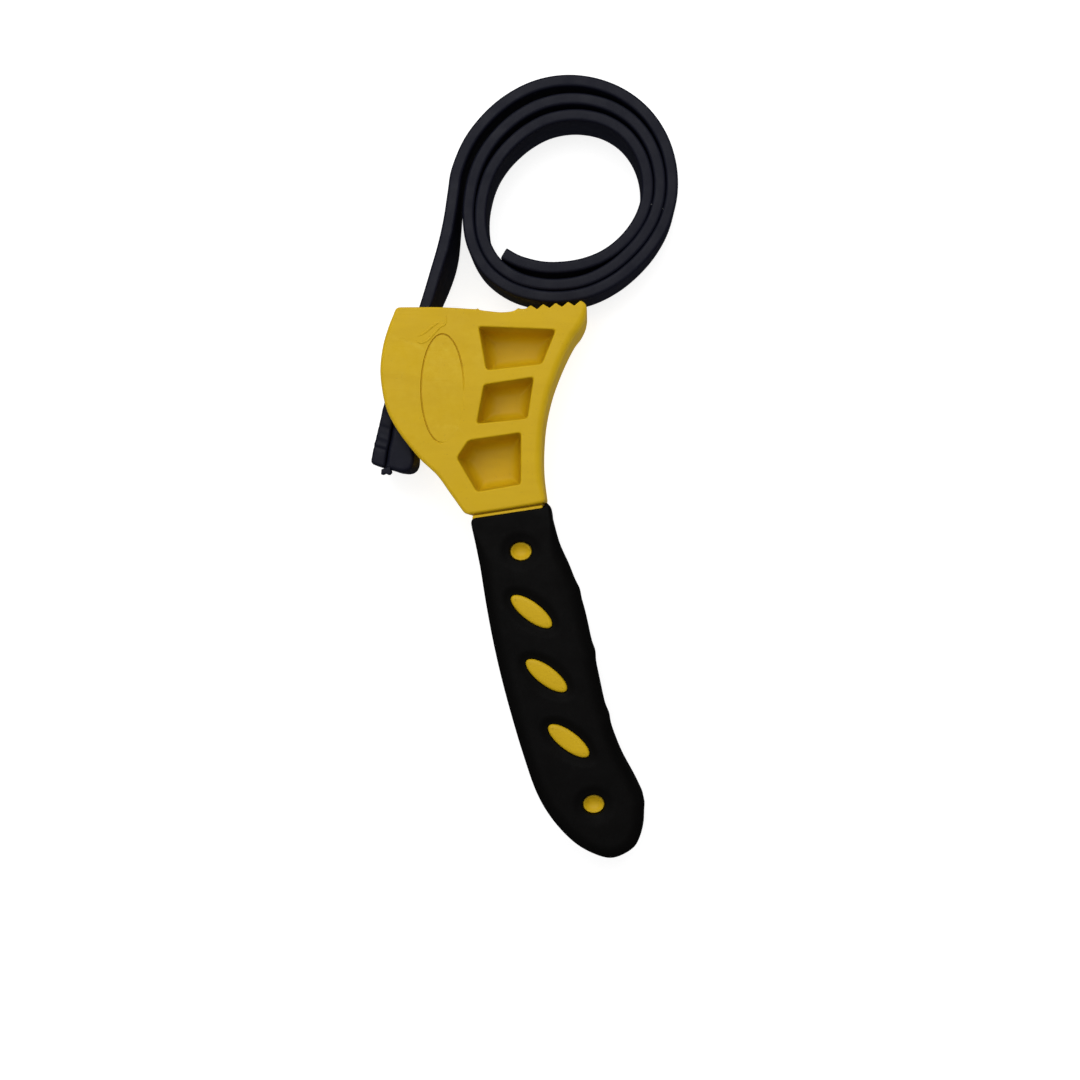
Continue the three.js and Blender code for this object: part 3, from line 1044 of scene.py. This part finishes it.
def yellow_plastic():
    look = Look("yellow_plastic", Specular_IOR_Level=0.16, IOR=1.5)
    color = look.mix(look.noise(0.035, 4, 0.6), (0.56, 0.355, 0.004), (0.64, 0.412, 0.007))
    flow = look.ramp(look.noise((0.05, 0.22, 0.1), 5, 0.65, 0.5), 0.42, 0.72)
    color = look.mix(look.math("MULTIPLY", flow, 0.35), color, (0.5, 0.305, 0.004))
    specks = look.ramp(look.noise(1.6, 2), 0.68, 0.74)
    color = look.mix(look.math("MULTIPLY", specks, 0.3), color, (0.34, 0.2, 0.01))
    wear = look.math("MULTIPLY", worn_edges(look), look.ramp(look.noise(0.5, 4, 0.7), 0.4, 0.62))
    color = look.mix(look.math("MULTIPLY", wear, 0.45), color, (0.7, 0.5, 0.04))
    roughness = look.ramp(look.noise(0.12, 5, 0.6), 0.3, 0.7, 0.4, 0.56)
    grain = look.bump(look.noise(4.5, 3, 0.6), 0.012)
    sink = look.bump(look.noise(0.09, 2, 0.5), 0.09, grain)
    lines = look.ramp(look.noise((0.04, 3.2, 0.04), 2, 0.5, 0.9), 0.62, 0.7)
    scratched = look.bump(look.math("SUBTRACT", 1.0, lines), 0.012, sink)
    return look.finish(color, roughness, scratched)


def grip_rubber():
    look = Look("grip_rubber", Specular_IOR_Level=0.06, IOR=1.5)
    color = look.mix(look.noise(0.06, 4, 0.6), (0.0014, 0.0013, 0.0012), (0.0024, 0.0021, 0.002))
    dust = look.ramp(look.noise(0.9, 5, 0.7), 0.55, 0.8)
    color = look.mix(look.math("MULTIPLY", dust, 0.3), color, (0.006, 0.0056, 0.0055))
    wear = look.math("MULTIPLY", worn_edges(look), 0.4)
    color = look.mix(wear, color, (0.008, 0.0073, 0.007))
    roughness = look.ramp(look.noise(0.2, 5, 0.6), 0.3, 0.7, 0.55, 0.74)
    grain = look.bump(look.noise(3.2, 4, 0.65), 0.03)
    soft = look.bump(look.noise(0.16, 3, 0.5), 0.12, grain)
    return look.finish(color, roughness, soft)


def belt_rubber():
    look = Look("belt_rubber", Specular_IOR_Level=0.13, IOR=1.5)
    color = look.mix(look.noise(0.05, 4, 0.6), (0.003, 0.0036, 0.0095), (0.0052, 0.0055, 0.0125))
    bloom = look.ramp(look.noise(0.7, 5, 0.7), 0.5, 0.85)
    color = look.mix(look.math("MULTIPLY", bloom, 0.4), color, (0.009, 0.0105, 0.019))
    wear = look.math("MULTIPLY", worn_edges(look), look.ramp(look.noise(0.35, 4, 0.7), 0.35, 0.65))
    color = look.mix(look.math("MULTIPLY", wear, 0.5), color, (0.02, 0.021, 0.03))
    roughness = look.ramp(look.noise(0.15, 5, 0.6), 0.3, 0.7, 0.42, 0.6)
    grain = look.bump(look.noise(3.5, 3, 0.6), 0.014)
    waves = look.bump(look.noise((0.1, 0.1, 0.9), 3, 0.5), 0.06, grain)
    return look.finish(color, roughness, waves)


def cord_fabric():
    look = Look("cord_fabric", Specular_IOR_Level=0.2, IOR=1.5)
    color = look.mix(look.noise(2.5, 3, 0.7), (0.2, 0.18, 0.14), (0.34, 0.31, 0.25))
    dirt = look.ramp(look.noise(0.6, 4, 0.6), 0.45, 0.75)
    color = look.mix(look.math("MULTIPLY", dirt, 0.5), color, (0.07, 0.065, 0.055))
    roughness = look.ramp(look.noise(1.0, 3), 0.3, 0.7, 0.8, 0.97)
    strands = look.bump(look.noise((1.2, 1.2, 7.0), 2, 0.5), 0.06)
    return look.finish(color, roughness, strands)


def floor_surface():
    look = Look("floor", Roughness=0.9, Specular_IOR_Level=0.2)
    look.shader.inputs["Base Color"].default_value = (0.45, 0.45, 0.45, 1)
    look.shader.inputs["Emission Color"].default_value = (1, 1, 1, 1)
    look.shader.inputs["Emission Strength"].default_value = 0.8
    return look.material


# ---------------------------------------------------------------- assembly
def dress(obj, material, slot_name, *nodes):
    obj.data.materials.clear()
    obj.data.materials.append(material)
    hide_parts(*nodes)


YELLOW = yellow_plastic()
GRIP = grip_rubber()
RUBBER = belt_rubber()
CORD = cord_fabric()

for make, material, body, slot_name, node in (
    (make_head, YELLOW, "handle", "yellow_plastic", "handle_frame"),
    (make_tang, YELLOW, "handle", "yellow_plastic", "handle_frame"),
    (make_grip, GRIP, "handle", "grip_rubber", "grip_sleeve"),
    (make_stop_wedge, RUBBER, "belt_end", "belt_rubber", "stop_wedge"),
):
    piece = make()
    dress(piece, material, slot_name, node)
    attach(piece, body)

# Each strip takes the place of these two nodes of the frame.
for make, material, slot_name, nodes in (
    (make_belt, RUBBER, "belt_rubber", ("belt_lead", "belt_coil")),
    (make_cord_ply, CORD, "cord_fabric", ("lead_cord_ply", "coil_cord_ply")),
):
    strip = make()
    dress(strip, material, slot_name, *nodes)
    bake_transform(strip)


# ---------------------------------------------------------------- floor and light
FLOOR_SIZE = 3.0  # metres
FLOOR_GAP = 0.0004  # metres, below the surface that the tool lies on
LIGHTS_AIM = (25, -45, 10)
# Light from the studio's walls and ceiling: (upward share of its direction, strength).
SKY_LOW = (-0.15, 0.03)
SKY_HIGH = (0.6, 0.3)


def make_floor():
    bpy.ops.mesh.primitive_plane_add(size=FLOOR_SIZE, location=(0, 0, -FLOOR_GAP))
    floor = bpy.context.object
    floor.name = "floor"
    floor.data.materials.append(floor_surface())
    floor.visible_glossy = False


def area_light(name, location, width, height, power):
    data = bpy.data.lights.new(name, "AREA")
    data.shape = "RECTANGLE"
    data.size, data.size_y = width, height
    data.energy = power
    light = bpy.data.objects.new(name, data)
    light.location = place(*location)
    towards = place(*LIGHTS_AIM) - place(*location)
    light.rotation_euler = towards.to_track_quat("-Z", "Y").to_euler()
    bpy.context.scene.collection.objects.link(light)


def make_world():
    """Even studio light that is brighter from above than from the sides."""
    world = bpy.data.worlds.new("studio")
    world.use_nodes = True
    nodes, links = world.node_tree.nodes, world.node_tree.links
    direction = nodes.new("ShaderNodeTexCoord")
    height = nodes.new("ShaderNodeSeparateXYZ")
    light = nodes.new("ShaderNodeMapRange")
    links.new(direction.outputs["Generated"], height.inputs[0])
    links.new(height.outputs["Z"], light.inputs["Value"])
    light.inputs["From Min"].default_value, light.inputs["To Min"].default_value = SKY_LOW
    light.inputs["From Max"].default_value, light.inputs["To Max"].default_value = SKY_HIGH
    nodes["Background"].inputs["Color"].default_value = (1, 1, 1, 1)
    links.new(light.outputs["Result"], nodes["Background"].inputs["Strength"])
    bpy.context.scene.world = world


make_floor()
area_light("key", (0, 300, 560), 0.7, 0.55, 3.2)
area_light("fill", (-220, -120, 620), 0.6, 0.6, 0.8)
make_world()
bpy.context.scene.view_settings.view_transform = "Standard"
